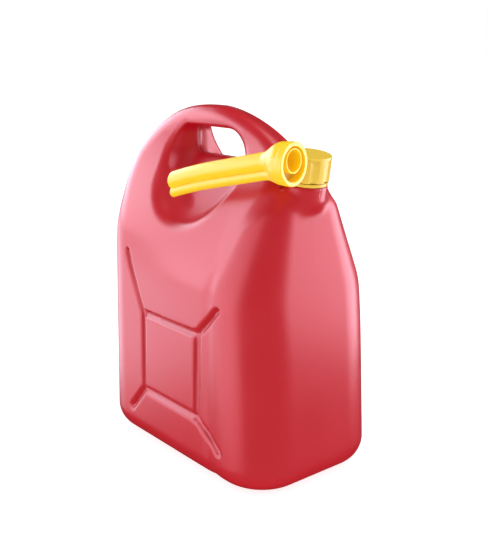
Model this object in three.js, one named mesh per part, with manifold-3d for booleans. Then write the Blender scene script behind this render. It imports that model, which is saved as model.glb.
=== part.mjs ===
// A portable fuel can of about 20 litres: a blow-moulded tank with its handle moulded in, a tilted
// threaded neck closed by a screw cap, and a two-passage pouring spout that hangs beside the cap on a
// ring round the neck. Millimetres, +Z up, +X to the neck end, origin at the middle of the footprint.
import * as THREE from 'three';
import { mergeVertices } from 'three/addons/utils/BufferGeometryUtils.js';
import Module from 'manifold-3d';

const wasm = await Module();
wasm.setup();

// overall sizes of the tank
const bodyLength = 347.2;
const bodyWidth = 218;
const bodyHeight = 445;
const baseEdgeRadius = 32;
const wallThickness = 2.8;
const handleWidth = 40;
const runningGap = 0.4;
const seatGap = 0.3;
const cutOverrun = 2;

// side outline, as shares of the sizes above
const frontLeanShare = 0.062;
const upperFrontLeanShare = 0.0623;
const backLeanShare = 0.0116;
const frontBendHeightShare = 0.449;
const apexPlaceShare = -0.0588;
const backArchHeightShare = 0.7064;
const frontArchHeightShare = 0.7957;
const frontArchReachShare = 0.456;
const backArchRoundnessShare = 2.64;
const frontArchRoundnessShare = 1.69;
const bendSoftnessShare = 0.045;
const neckShoulderRadius = 10;
const shoulderBlend = 14;

// half width of the tank over its height, back end and front end
const backHalfWidthShare = 0.989;
const backDraftShare = 0.03;
const backTaperShare = 0.477;
const backTaperHeightShare = 0.6494;
const backTaperSoftnessShare = 0.0191;
const frontTaperHeightShare = 0.5117;
const frontTaperSoftnessShare = 0.0166;
const widthBlendStartShare = -0.43;
const widthBlendEndShare = 0.35;
const handleBlend = 14;

// corner radius as a share of the half width: back, front and along the handle
const backCornerShare = 0.724;
const frontCornerShare = 0.642;
const handleCornerShare = 0.898;
const cornerChangeStartShare = 0.854;
const cornerChangeEndShare = 0.989;

// hand hole and the scoops that lead into it from both sides
const holeBack = 70.2;
const holeFront = 33;
const holeHeight = 35;
const handleDepth = 27.1;
const holeBackTopRadius = 16;
const holeFrontTopRadius = 28;
const holeBottomRadius = 14;
const scoopBackFlare = 20;
const scoopFrontFlare = 20;
const scoopBackReach = 25;
const scoopFrontReach = 20;
const scoopDrop = 77;
const scoopDepth = 82;
const scoopBottomRadius = 62;
const scoopTopRise = 7;
const scoopTopReach = 20;
const scoopSteepnessShare = 1.15;
const crestRadius = 12;
const scoopRimBlend = 10;

// pressed grooves on both broad sides: a rectangle with four arms
const panelLength = 122;
const panelHeight = 107;
const panelCentreX = 3;
const panelBottom = 80;
const grooveRadius = 5;
const grooveDepth = 1.4;
const armBackShare = [0.336, 0.692];
const armFrontShare = [0.27, 0.346];
const armLowBackShare = [0.254, 0.318];
const armLowFrontShare = [0.27, 0.393];

// neck, its seat in the tank, and what turns on it
const neckInset = 38.9;
const neckDrop = 76;
const shoulderHalfWidth = 36.94;
const neckTilt = 8.5;
const drumRadius = 24.5;
const drumHeight = 22;
const drumTopRadius = 2;
const drumFootRadius = 8;
const drumBlend = 9;
const shoulderDrop = 9;
const neckRadius = 19;
const neckLength = 22;
const neckBore = 16.6;
const ringWidth = 5.8;
const ringThickness = 3.6;
const capRadius = 25.7;
const capLift = 1;
const capTop = 3;
const capBoreRadius = 19.6;
const pocketClearance = 1.2;
const gasketThickness = 2;
const gasketOverhang = 1.4;
const fluteCount = 10;
const fluteWidth = 11;
const fluteDepth = 2.2;
const fluteTopShare = 0.2;

// spout
const spoutAhead = 31.5;
const spoutSide = 47.5;
const spoutRise = 24.7;
const spoutYaw = 10.5;
const spoutLength = 184;
const socketRadius = 24.6;
const socketBore = 19.6;
const socketDepth = 14;
const socketLength = 12;
const flareLength = 30;
const tubeRise = 3.6;
const tubeSlopeShare = 0.22;
const tipDroop = 3.4;
const tipDroopShare = 0.35;
const flowRadius = 10.8;
const ventRadius = 7;
const passageHeight = 32.3;
const passageWall = 1.9;
const mouthRadius = 11.6;
const mouthPointRadius = 3;
const mouthHeight = 25.8;
const mouthDepth = 30;

// hanger between ring and spout
const railPlace = 39;
const railLength = 18;
const railWidth = 5;
const railHeadWidth = 10;
const railHeadThickness = 2;
const railReach = 23.4;
const hangerLip = 1.6;
const hangerWall = 2.4;
const hangerRim = 2.6;
const armWidth = 10;
const armThickness = 3.2;
const armStandOff = 27.2;

const degree = Math.PI / 180;
const halfLength = bodyLength / 2;
const halfWidth = bodyWidth / 2;
const neckX = halfLength - neckInset;
const neckHeight = bodyHeight - neckDrop;
const spoutX = neckX + spoutAhead;
const spoutHeight = neckHeight + spoutRise;
// the front end draws in from its full width to the neck's shoulder
const frontTaper = (halfWidth - shoulderHalfWidth) / (neckHeight - bodyHeight * frontTaperHeightShare);
const apexX = bodyLength * apexPlaceShare;
const holeTop = bodyHeight - handleDepth;
const holeBottom = holeTop - holeHeight;
const tilt = neckTilt * degree;
const neckAxis = new THREE.Vector3(Math.sin(tilt), 0, Math.cos(tilt));

// Soft blends between two distances
function softplus(value, softness) {
  const scaled = value / softness;
  return scaled > 30 ? value : softness * Math.log1p(Math.exp(scaled));
}

function softMax(first, second, blend) {
  const mix = Math.min(1, Math.max(0, 0.5 + (0.5 * (first - second)) / blend));
  return second + (first - second) * mix + blend * mix * (1 - mix);
}

function softMin(first, second, blend) {
  return -softMax(-first, -second, blend);
}

// two walls meeting in an outside corner of the given radius
function roundedCorner(first, second, radius) {
  const a = first + radius;
  const b = second + radius;
  return Math.hypot(Math.max(a, 0), Math.max(b, 0)) + Math.min(Math.max(a, b), 0) - radius;
}

function smoothStep(value) {
  const t = Math.min(1, Math.max(0, value));
  return t * t * (3 - 2 * t);
}

// first-order distance to a quarter of a superellipse
function archDistance(dx, dz, reach, rise, roundness) {
  const u = Math.max(dx / reach, 1e-6);
  const v = Math.max(dz / rise, 1e-6);
  const g = Math.pow(Math.pow(u, roundness) + Math.pow(v, roundness), 1 / roundness);
  const gx = Math.pow(u / g, roundness - 1) / reach;
  const gz = Math.pow(v / g, roundness - 1) / rise;
  return (g - 1) / Math.hypot(gx, gz);
}

// distance outside the side outline: leaning back and front, the arch of the handle, the neck shoulder
function outlineDistance(x, z) {
  const back = -halfLength + backLeanShare * (z - baseEdgeRadius);
  const bend = softplus(z - bodyHeight * frontBendHeightShare, bodyHeight * bendSoftnessShare);
  const front = halfLength - frontLeanShare * (z - baseEdgeRadius) - upperFrontLeanShare * bend;
  const backArchHeight = bodyHeight * backArchHeightShare;
  const frontArchHeight = bodyHeight * frontArchHeightShare;
  const arch = x < apexX
    ? archDistance(apexX - x, z - backArchHeight, apexX - back, bodyHeight - backArchHeight,
      backArchRoundnessShare)
    : archDistance(x - apexX, z - frontArchHeight, bodyLength * frontArchReachShare,
      bodyHeight - frontArchHeight, frontArchRoundnessShare);
  const seat = (x - neckX) * neckAxis.x + (z - neckHeight) * neckAxis.z + shoulderDrop;
  const shoulder = roundedCorner(Math.max(x - front, holeFront - x), seat, neckShoulderRadius);
  return softMin(arch, shoulder, shoulderBlend);
}

// half width of the tank at a place on the side view
function halfWidthAt(x, z) {
  const backTaper = softplus(z - bodyHeight * backTaperHeightShare, bodyHeight * backTaperSoftnessShare);
  const frontRise = softplus(z - bodyHeight * frontTaperHeightShare, bodyHeight * frontTaperSoftnessShare);
  const back = halfWidth * backHalfWidthShare - backDraftShare * z - backTaperShare * backTaper;
  const front = halfWidth - frontTaper * frontRise;
  const span = bodyLength * (widthBlendEndShare - widthBlendStartShare);
  const t = Math.min(1, Math.max(0, (x - bodyLength * widthBlendStartShare) / span));
  const mix = (t + smoothStep(t)) / 2;
  return softMax(back + (front - back) * mix, handleWidth / 2, handleBlend);
}

// hole and scoops: a rounded window that widens with the distance from the middle plane
function windowDistance(x, y, z) {
  const depth = Math.hypot(y, crestRadius) - crestRadius;
  const low = -holeBack - scoopBackFlare * (1 - Math.exp(-depth / scoopBackReach));
  const high = holeFront + scoopFrontFlare * (1 - Math.exp(-depth / scoopFrontReach));
  const bottom = holeBottom - scoopDrop * Math.pow(depth / scoopDepth, scoopSteepnessShare);
  const top = holeTop + scoopTopRise * Math.pow(depth / scoopTopReach, 2);
  const opening = Math.min(1, depth / scoopDepth);
  const halfX = (high - low) / 2;
  const halfZ = (top - bottom) / 2;
  const dx = x - (high + low) / 2;
  const dz = z - (top + bottom) / 2;
  const lowRadius = holeBottomRadius + (scoopBottomRadius - holeBottomRadius) * opening;
  const topRadius = dx < 0 ? holeBackTopRadius : holeFrontTopRadius;
  const radius = Math.min(dz < 0 ? lowRadius : topRadius, halfX, halfZ);
  const a = Math.abs(dx) - halfX + radius;
  const b = Math.abs(dz) - halfZ + radius;
  return Math.hypot(Math.max(a, 0), Math.max(b, 0)) + Math.min(Math.max(a, b), 0) - radius;
}

// the drum that lifts the neck off the shoulder
function drumDistance(x, y, z) {
  const along = (x - neckX) * neckAxis.x + (z - neckHeight) * neckAxis.z;
  const across = Math.hypot((x - neckX) * neckAxis.z - (z - neckHeight) * neckAxis.x, y);
  const rim = roundedCorner(across - drumRadius, along + seatGap, drumTopRadius);
  return roundedCorner(rim, -along - drumHeight, drumFootRadius);
}

// distance outside the tank, without its neck
function tankDistance(x, y, z) {
  const half = halfWidthAt(x, z);
  const along = (x - bodyLength * widthBlendStartShare) / (bodyLength * (widthBlendEndShare - widthBlendStartShare));
  const mix = Math.min(1, Math.max(0, along));
  const low = backCornerShare + (frontCornerShare - backCornerShare) * mix;
  const rise = (z / bodyHeight - cornerChangeStartShare) / (cornerChangeEndShare - cornerChangeStartShare);
  const share = low + (handleCornerShare - low) * Math.min(1, Math.max(0, rise));
  const walls = roundedCorner(outlineDistance(x, z), Math.abs(y) - half, share * half);
  const shell = roundedCorner(walls, -z, baseEdgeRadius);
  const holed = softMax(shell, -windowDistance(x, y, z), scoopRimBlend);
  return softMin(holed, drumDistance(x, y, z), drumBlend);
}

// The tank as a closed ring of sections
// Every section is taken in a half plane through the axis of the hand hole. Inside it each point lies on
// a spoke from the section's middle, at the place where the distance is zero.
const hubX = (holeFront - holeBack) / 2;
const hubZ = (holeTop + holeBottom) / 2;
const farReach = bodyLength + bodyHeight;

function bisect(test, inside, outside) {
  let low = inside;
  let high = outside;
  for (let step = 0; step < 44; step += 1) {
    const middle = (low + high) / 2;
    if (test(middle) < 0) {
      low = middle;
    } else {
      high = middle;
    }
  }
  return (low + high) / 2;
}

function sectionSpan(angle, inset) {
  const test = (radius) => tankDistance(hubX + radius * Math.cos(angle), 0, hubZ + radius * Math.sin(angle)) + inset;
  const steps = 400;
  let inner = -1;
  let outer = -1;
  for (let step = 1; step <= steps; step += 1) {
    const radius = (farReach * step) / steps;
    const inMaterial = test(radius) < 0;
    if (inMaterial && inner < 0) {
      inner = radius;
    }
    if (inMaterial) {
      outer = radius;
    }
  }
  const stride = farReach / steps;
  return [bisect(test, inner, inner - stride), bisect(test, outer, outer + stride)];
}

function sectionCurve(angle, inset, count) {
  const [inner, outer] = sectionSpan(angle, inset);
  const middle = (inner + outer) / 2;
  const cos = Math.cos(angle);
  const sin = Math.sin(angle);
  const fineCount = 240;
  const fine = [];
  for (let step = 0; step <= fineCount; step += 1) {
    const turn = Math.PI * (1 - step / fineCount);
    const across = Math.cos(turn);
    const side = -Math.sin(turn);
    const limit = across < 0 ? Math.min(farReach, middle / -across) : farReach;
    const test = (length) => {
      const radius = middle + length * across;
      return tankDistance(hubX + radius * cos, length * side, hubZ + radius * sin) + inset;
    };
    const length = bisect(test, 0, limit);
    fine.push([middle + length * across, length * side]);
  }
  fine[0][1] = 0;
  fine[fineCount][1] = 0;
  // the sampling follows the curve's length and its bends
  const bendWeight = bodyLength / 18;
  const travel = [0];
  for (let step = 1; step <= fineCount; step += 1) {
    const [a, b] = [fine[step - 1], fine[step]];
    let bend = 0;
    if (step < fineCount) {
      const c = fine[step + 1];
      const first = Math.atan2(b[1] - a[1], b[0] - a[0]);
      const second = Math.atan2(c[1] - b[1], c[0] - b[0]);
      bend = Math.abs(Math.atan2(Math.sin(second - first), Math.cos(second - first)));
    }
    travel.push(travel[step - 1] + Math.hypot(b[0] - a[0], b[1] - a[1]) + bendWeight * bend);
  }
  const half = [];
  let cursor = 0;
  for (let step = 0; step <= count; step += 1) {
    const goal = (travel[fineCount] * step) / count;
    while (cursor < fineCount - 1 && travel[cursor + 1] < goal) {
      cursor += 1;
    }
    const part = (goal - travel[cursor]) / (travel[cursor + 1] - travel[cursor]);
    half.push([
      fine[cursor][0] + (fine[cursor + 1][0] - fine[cursor][0]) * part,
      fine[cursor][1] + (fine[cursor + 1][1] - fine[cursor][1]) * part,
    ]);
  }
  const place = ([radius, y]) => [hubX + radius * cos, y, hubZ + radius * sin];
  const near = half.map(place);
  const far = half.slice(1, -1).reverse().map(([radius, y]) => place([radius, -y]));
  return near.concat(far);
}

// section angles spread evenly over the outline and the hole together
function sectionAngles(count, inset) {
  const fineCount = 360;
  const travel = [0];
  let before = null;
  for (let step = 0; step <= fineCount; step += 1) {
    const angle = (2 * Math.PI * step) / fineCount;
    const [inner, outer] = sectionSpan(angle, inset);
    const ends = [inner, outer].map((radius) => [radius * Math.cos(angle), radius * Math.sin(angle)]);
    if (before) {
      const [rimStep, wallStep] = ends.map((end, k) => Math.hypot(end[0] - before[k][0], end[1] - before[k][1]));
      travel.push(travel[step - 1] + wallStep + 2 * rimStep);
    }
    before = ends;
  }
  const angles = [];
  let cursor = 0;
  for (let step = 0; step < count; step += 1) {
    const goal = (travel[fineCount] * step) / count;
    while (travel[cursor + 1] < goal) {
      cursor += 1;
    }
    const part = (goal - travel[cursor]) / (travel[cursor + 1] - travel[cursor]);
    angles.push((2 * Math.PI * (cursor + part)) / fineCount);
  }
  return angles;
}

// Meshes and solids
function solidFromArrays(positions, triangles) {
  const solid = new wasm.Manifold(new wasm.Mesh({
    numProp: 3,
    vertProperties: Float32Array.from(positions),
    triVerts: Uint32Array.from(triangles),
  }));
  return solid;
}

function solidFromGeometry(geometry) {
  const bare = geometry.clone();
  bare.deleteAttribute('normal');
  bare.deleteAttribute('uv');
  const merged = mergeVertices(bare, 1e-4);
  const triangles = [];
  const index = merged.index.array;
  for (let k = 0; k < index.length; k += 3) {
    const [a, b, c] = [index[k], index[k + 1], index[k + 2]];
    if (a !== b && b !== c && a !== c) {
      triangles.push(a, b, c);
    }
  }
  return solidFromArrays(merged.attributes.position.array, triangles);
}

function geometryFromSolid(solid) {
  const mesh = solid.getMesh();
  const geometry = new THREE.BufferGeometry();
  geometry.setAttribute('position', new THREE.BufferAttribute(Float32Array.from(mesh.vertProperties), 3));
  geometry.setIndex(new THREE.BufferAttribute(Uint32Array.from(mesh.triVerts), 1));
  geometry.computeVertexNormals();
  return geometry;
}

// closed rings joined into a tube; open tubes get a fan at each end
function tubeSolid(rings, closed) {
  const count = rings[0].length;
  const positions = rings.flat(2);
  const triangles = [];
  const last = closed ? rings.length : rings.length - 1;
  for (let i = 0; i < last; i += 1) {
    const next = (i + 1) % rings.length;
    for (let j = 0; j < count; j += 1) {
      const k = (j + 1) % count;
      const [a, b, c, d] = [i * count + j, next * count + j, next * count + k, i * count + k];
      triangles.push(a, b, c, a, c, d);
    }
  }
  if (!closed) {
    [0, rings.length - 1].forEach((i, end) => {
      const centre = positions.length / 3;
      const sum = [0, 0, 0];
      rings[i].forEach((point) => point.forEach((value, k) => { sum[k] += value / count; }));
      positions.push(...sum);
      for (let j = 0; j < count; j += 1) {
        const k = (j + 1) % count;
        const pair = end === 0 ? [i * count + j, i * count + k] : [i * count + k, i * count + j];
        triangles.push(centre, ...pair);
      }
    });
  }
  const solid = solidFromArrays(positions, triangles);
  if (solid.volume() > 0) {
    return solid;
  }
  for (let k = 0; k < triangles.length; k += 3) {
    [triangles[k + 1], triangles[k + 2]] = [triangles[k + 2], triangles[k + 1]];
  }
  return solidFromArrays(positions, triangles);
}

function ringBody(inset, sections, halfPoints) {
  const rings = sectionAngles(sections, inset).map((angle) => sectionCurve(angle, inset, halfPoints));
  return tubeSolid(rings, true);
}

function lathe(profile, segments) {
  const points = profile.map(([radius, height]) => new THREE.Vector2(radius, height));
  const geometry = new THREE.LatheGeometry(points, segments);
  geometry.rotateX(Math.PI / 2);
  return geometry;
}

function moved(geometry, matrix) {
  const copy = geometry.clone();
  copy.applyMatrix4(matrix);
  return solidFromGeometry(copy);
}

const roundSegments = 40;
const capSegments = 60;
const outerSections = 68;
const outerPoints = 23;
const cavitySections = 42;
const cavityPoints = 12;
const neckFrame = new THREE.Matrix4().makeRotationY(tilt).setPosition(neckX, 0, neckHeight);
const spoutFrame = new THREE.Matrix4().makeRotationZ(spoutYaw * degree).setPosition(spoutX, -spoutSide, spoutHeight);

// Hanger, drawn in the spout's frame, where its rail runs along X
const railZ = tubeCentreHeight(-railPlace);
const slotBack = railReach + runningGap;
const slotFront = railReach - railHeadThickness - runningGap;
const hangerLength = railLength + hangerWall + runningGap;
const hangerDepth = slotBack + hangerWall - slotFront + hangerLip;
const hangerHeight = railHeadWidth + 2 * (runningGap + hangerRim);
const hangerX = -railPlace - (hangerWall + runningGap) / 2;
// foot of its front end, seen from the neck, and the pocket in the tank that clears the arm below it
const hangerFoot = new THREE.Vector3(hangerX + (hangerLength - armWidth) / 2, slotBack, railZ - hangerHeight / 2)
  .applyMatrix4(spoutFrame)
  .applyMatrix4(neckFrame.clone().invert());
const armCorner = Math.hypot(Math.abs(hangerFoot.x) + armWidth / 2, armStandOff + armThickness);
const pocketRadius = Math.max(armCorner, capRadius) + pocketClearance;

// Tank
function grooveBars() {
  const low = panelBottom;
  const high = panelBottom + panelHeight;
  const back = panelCentreX - panelLength / 2;
  const front = panelCentreX + panelLength / 2;
  const corner = { highBack: [back, high], highFront: [front, high], lowBack: [back, low], lowFront: [front, low] };
  const arm = ([x, z], [across, up], sideX, sideZ) => [x + sideX * across * panelLength, z + sideZ * up * panelHeight];
  return [
    [corner.highBack, corner.highFront],
    [corner.lowBack, corner.lowFront],
    [corner.lowBack, corner.highBack],
    [corner.lowFront, corner.highFront],
    [corner.highBack, arm(corner.highBack, armBackShare, -1, 1)],
    [corner.highFront, arm(corner.highFront, armFrontShare, 1, 1)],
    [corner.lowBack, arm(corner.lowBack, armLowBackShare, -1, -1)],
    [corner.lowFront, arm(corner.lowFront, armLowFrontShare, 1, -1)],
  ];
}

function grooveSolid([start, end], side) {
  const lift = grooveRadius - grooveDepth;
  const ends = [start, end].map(([x, z]) => new THREE.Vector3(x, side * (halfWidthAt(x, z) + lift), z));
  const along = new THREE.Vector3().subVectors(ends[1], ends[0]);
  const geometry = new THREE.CapsuleGeometry(grooveRadius, along.length(), 2, 8);
  const turn = new THREE.Quaternion().setFromUnitVectors(new THREE.Vector3(0, 1, 0), along.clone().normalize());
  const middle = new THREE.Vector3().addVectors(ends[0], ends[1]).multiplyScalar(1 / 2);
  return moved(geometry, new THREE.Matrix4().compose(middle, turn, new THREE.Vector3(1, 1, 1)));
}

// room for the cap and the ring's arm above the shoulder, grown by a wall to keep the cavity off it
function pocketSolid(grow) {
  const radius = pocketRadius + grow;
  const foot = -shoulderDrop + seatGap - grow;
  const top = drumHeight + neckLength;
  return moved(lathe([[0, foot], [radius, foot], [radius, top], [0, top]], roundSegments), neckFrame);
}

function makeTank() {
  let tank = ringBody(0, outerSections, outerPoints);
  for (const side of [-1, 1]) {
    for (const bar of grooveBars()) {
      tank = tank.subtract(grooveSolid(bar, side));
    }
  }
  const drum = moved(lathe([
    [0, -drumHeight / 2],
    [drumRadius, -drumHeight / 2],
    [drumRadius, -seatGap],
    [neckRadius, -seatGap],
    [neckRadius, neckLength],
    [0, neckLength],
  ], roundSegments), neckFrame);
  const bore = moved(lathe([
    [0, -drumHeight],
    [neckBore, -drumHeight],
    [neckBore, neckLength + cutOverrun],
    [0, neckLength + cutOverrun],
  ], roundSegments), neckFrame);
  const pocket = pocketSolid(0);
  const cavity = ringBody(wallThickness, cavitySections, cavityPoints).subtract(pocketSolid(wallThickness));
  return tank.subtract(pocket).add(drum).subtract(cavity).subtract(bore);
}

// Cap and its gasket
const capFoot = ringThickness + capLift;
const gasketTop = neckLength + seatGap + gasketThickness;
const capHead = gasketTop + seatGap + capTop;

function makeCap() {
  const rimChamfer = capTop / 3;
  let cap = moved(lathe([
    [capBoreRadius, capFoot],
    [capRadius, capFoot],
    [capRadius, capHead - rimChamfer],
    [capRadius - rimChamfer, capHead],
    [0, capHead],
    [0, gasketTop + seatGap],
    [capBoreRadius, gasketTop + seatGap],
    [capBoreRadius, capFoot],
  ], capSegments), new THREE.Matrix4());
  const fluteTop = capHead - (capHead - capFoot) * fluteTopShare;
  for (let k = 0; k < fluteCount; k += 1) {
    const box = new THREE.BoxGeometry(2 * fluteDepth, fluteWidth, fluteTop - capFoot + cutOverrun);
    box.translate(capRadius, 0, (fluteTop + capFoot - cutOverrun) / 2);
    cap = cap.subtract(moved(box, new THREE.Matrix4().makeRotationZ((2 * Math.PI * k) / fluteCount)));
  }
  return cap;
}

function makeCapGasket() {
  const outer = capBoreRadius - seatGap;
  const inner = neckBore - gasketOverhang;
  return moved(lathe([
    [inner, gasketTop - gasketThickness],
    [outer, gasketTop - gasketThickness],
    [outer, gasketTop],
    [inner, gasketTop],
    [inner, gasketTop - gasketThickness],
  ], roundSegments), new THREE.Matrix4());
}

// Spout
// outline of the two passages side by side, as a radius about the tube's axis
const flowCentre = passageHeight / 2 - flowRadius;
const ventCentre = ventRadius - passageHeight / 2;

function lobeReach(centre, radius, angle) {
  const across = centre * Math.cos(angle);
  const inside = radius * radius - across * across;
  if (inside < 0) {
    return 0;
  }
  return centre * Math.sin(angle) + Math.sqrt(inside);
}

function tubeReach(angle) {
  return Math.max(lobeReach(flowCentre, flowRadius, angle), lobeReach(ventCentre, ventRadius, angle));
}

function tubeCentreHeight(t) {
  const start = spoutLength * (1 - tipDroopShare);
  const past = Math.max(0, -t - start) / (spoutLength - start);
  return tubeRise + tubeSlopeShare * t - tipDroop * past * past;
}

// a section across the spout at distance t from the socket's face
function spoutRing(t, count, grow) {
  const flare = smoothStep((-t - socketLength) / flareLength);
  const centre = tubeCentreHeight(t) * flare;
  const points = [];
  for (let k = 0; k < count; k += 1) {
    const angle = (2 * Math.PI * (k + 1 / 2)) / count;
    const radius = (socketRadius + (tubeReach(angle) - socketRadius) * flare) * grow;
    points.push([t, radius * Math.cos(angle), centre + radius * Math.sin(angle)]);
  }
  return points;
}

function discAlong(radius, from, to, height, segments) {
  const geometry = new THREE.CylinderGeometry(radius, radius, to - from, segments);
  geometry.rotateZ(Math.PI / 2);
  geometry.translate((from + to) / 2, 0, height);
  return geometry;
}

// drop-shaped outline of the mouth: round above, pointed below
function mouthShape(inset) {
  const round = mouthRadius - inset;
  const point = Math.max(mouthPointRadius - inset, mouthPointRadius / 4);
  const span = mouthHeight - mouthRadius - mouthPointRadius;
  const lean = Math.asin((round - point) / span);
  const shape = new THREE.Shape();
  const steps = 20;
  for (let k = 0; k <= steps; k += 1) {
    const angle = -lean + ((Math.PI + 2 * lean) * k) / steps;
    shape[k === 0 ? 'moveTo' : 'lineTo'](round * Math.cos(angle), round * Math.sin(angle));
  }
  const pointSteps = 6;
  for (let k = 0; k <= pointSteps; k += 1) {
    const angle = Math.PI + lean + ((Math.PI - 2 * lean) * k) / pointSteps;
    shape.lineTo(point * Math.cos(angle), point * Math.sin(angle) - span);
  }
  return shape;
}

function mouthSolid(inset, from, to) {
  const geometry = new THREE.ExtrudeGeometry(mouthShape(inset), { depth: to - from, bevelEnabled: false });
  geometry.rotateX(Math.PI / 2);
  geometry.rotateZ(Math.PI / 2);
  geometry.translate(from, 0, tubeRise + mouthHeight / 2 - mouthRadius);
  return moved(geometry, new THREE.Matrix4());
}

function passageSolid(centre, radius) {
  const rings = [];
  const stations = 10;
  for (let k = 0; k <= stations; k += 1) {
    const t = -mouthDepth + cutOverrun - ((spoutLength - mouthDepth + 2 * cutOverrun) * k) / stations;
    const ring = [];
    const sides = 20;
    for (let j = 0; j < sides; j += 1) {
      const angle = (2 * Math.PI * j) / sides;
      ring.push([t, radius * Math.cos(angle), tubeCentreHeight(t) + centre + radius * Math.sin(angle)]);
    }
    rings.push(ring);
  }
  return tubeSolid(rings, false);
}

function makeSpout() {
  const count = 38;
  const stations = [0, -socketLength / 2, -socketLength];
  const flareSteps = 7;
  for (let k = 1; k <= flareSteps; k += 1) {
    stations.push(-socketLength - (flareLength * k) / flareSteps);
  }
  const tubeStart = socketLength + flareLength;
  const tipRound = flowRadius / 5;
  const tubeSteps = 6;
  for (let k = 1; k <= tubeSteps; k += 1) {
    stations.push(-tubeStart - ((spoutLength - tipRound - tubeStart) * k) / tubeSteps);
  }
  const rings = stations.map((t) => spoutRing(t, count, 1));
  rings.push(spoutRing(-spoutLength, count, 1 - tipRound / passageHeight));
  let spout = tubeSolid(rings, false);
  const channel = moved(discAlong(socketBore, -socketDepth, cutOverrun, 0, roundSegments), new THREE.Matrix4())
    .subtract(mouthSolid(0, -socketDepth - cutOverrun, 0));
  spout = spout.subtract(channel).subtract(mouthSolid(passageWall, -mouthDepth, cutOverrun));
  spout = spout.subtract(passageSolid(flowCentre, flowRadius - passageWall));
  spout = spout.subtract(passageSolid(ventCentre, ventRadius - passageWall));
  const neckLengthOfRail = railReach - railHeadThickness;
  const web = new THREE.BoxGeometry(railLength, neckLengthOfRail - flowRadius / 2, railWidth);
  web.translate(-railPlace, (neckLengthOfRail + flowRadius / 2) / 2, railZ);
  const head = new THREE.BoxGeometry(railLength, railHeadThickness, railHeadWidth);
  head.translate(-railPlace, railReach - railHeadThickness / 2, railZ);
  const railCore = moved(web, new THREE.Matrix4()).subtract(mouthSolid(passageWall, -mouthDepth, cutOverrun))
    .subtract(passageSolid(flowCentre, flowRadius - passageWall));
  return spout.add(railCore).add(moved(head, new THREE.Matrix4()));
}

function makeSpoutGasket() {
  const outer = socketBore - seatGap;
  const from = -socketDepth + seatGap;
  const ring = moved(discAlong(outer, from, from + gasketThickness, 0, roundSegments), new THREE.Matrix4());
  return ring.subtract(mouthSolid(-seatGap, from - cutOverrun, from + gasketThickness + cutOverrun));
}

// Ring round the neck with its hanger
function makeRing() {
  const inner = neckRadius + runningGap;
  const outer = inner + ringWidth;
  let ring = moved(lathe([
    [inner, 0],
    [outer, 0],
    [outer, ringThickness],
    [inner, ringThickness],
    [inner, 0],
  ], roundSegments), neckFrame);
  const block = new THREE.BoxGeometry(hangerLength, hangerDepth, hangerHeight);
  block.translate(hangerX, slotFront - hangerLip + hangerDepth / 2, railZ);
  const slot = new THREE.BoxGeometry(hangerLength, slotBack - slotFront, railHeadWidth + 2 * runningGap);
  slot.translate(hangerX + hangerWall, (slotBack + slotFront) / 2, railZ);
  const gate = new THREE.BoxGeometry(hangerLength, hangerLip + cutOverrun, railWidth + 2 * runningGap);
  gate.translate(hangerX + hangerWall, slotFront - hangerLip / 2, railZ);
  const hanger = moved(block, spoutFrame).subtract(moved(slot, spoutFrame)).subtract(moved(gate, spoutFrame));
  // upright arm between ring and hanger, in the neck's frame
  const armTop = hangerFoot.z + hangerRim;
  const arm = new THREE.BoxGeometry(armWidth, armThickness, armTop);
  arm.translate(hangerFoot.x, -armStandOff - armThickness / 2, armTop / 2);
  const tab = new THREE.BoxGeometry(armWidth, armStandOff + armThickness - outer + ringWidth / 2, ringThickness);
  tab.translate(hangerFoot.x, -(armStandOff + armThickness + outer - ringWidth / 2) / 2, ringThickness / 2);
  ring = ring.add(moved(tab, neckFrame)).add(moved(arm, neckFrame)).add(hanger);
  return ring;
}

// Scene
const redPlastic = new THREE.MeshStandardMaterial({ color: 0xc8142b, roughness: 0.38, metalness: 0 });
const yellowPlastic = new THREE.MeshStandardMaterial({ color: 0xf6c21c, roughness: 0.36, metalness: 0 });
const blackRubber = new THREE.MeshStandardMaterial({ color: 0x1b1b1b, roughness: 0.75, metalness: 0 });
const deepYellowPlastic = new THREE.MeshStandardMaterial({ color: 0xe0b430, roughness: 0.6, metalness: 0 });

function part(name, solid, material) {
  const mesh = new THREE.Mesh(geometryFromSolid(solid), material);
  mesh.name = name;
  return mesh;
}

const gasCan = new THREE.Group();
gasCan.add(part('can_body', makeTank(), redPlastic));
gasCan.add(part('retaining_ring', makeRing(), yellowPlastic));

const neckGroup = new THREE.Group();
neckGroup.position.set(neckX, 0, neckHeight);
neckGroup.rotation.y = tilt;
neckGroup.add(part('cap', makeCap(), yellowPlastic));
neckGroup.add(part('cap_gasket', makeCapGasket(), blackRubber));
gasCan.add(neckGroup);

const spoutGroup = new THREE.Group();
spoutGroup.position.set(spoutX, -spoutSide, spoutHeight);
spoutGroup.rotation.z = spoutYaw * degree;
spoutGroup.add(part('spout', makeSpout(), yellowPlastic));
spoutGroup.add(part('spout_gasket', makeSpoutGasket(), deepYellowPlastic));
gasCan.add(spoutGroup);

gasCan.updateMatrixWorld(true);
export default gasCan;
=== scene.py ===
# %% [markdown]
# # A twenty litre fuel can in red and yellow plastic
# The can is a blow-moulded tank: one hollow skin of polyethylene with its handle moulded in. A screw
# cap closes the tilted neck, and a pouring spout hangs beside it on a ring round the neck. The solids
# of the frame hold the sizes and the joints; this script gives every piece its finished skin.
# Lengths are in millimetres in the formulas and become metres when a mesh is made.

# %% Imports and the frame
import math

import bpy
import numpy as np
from mathutils import Matrix, Vector


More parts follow.
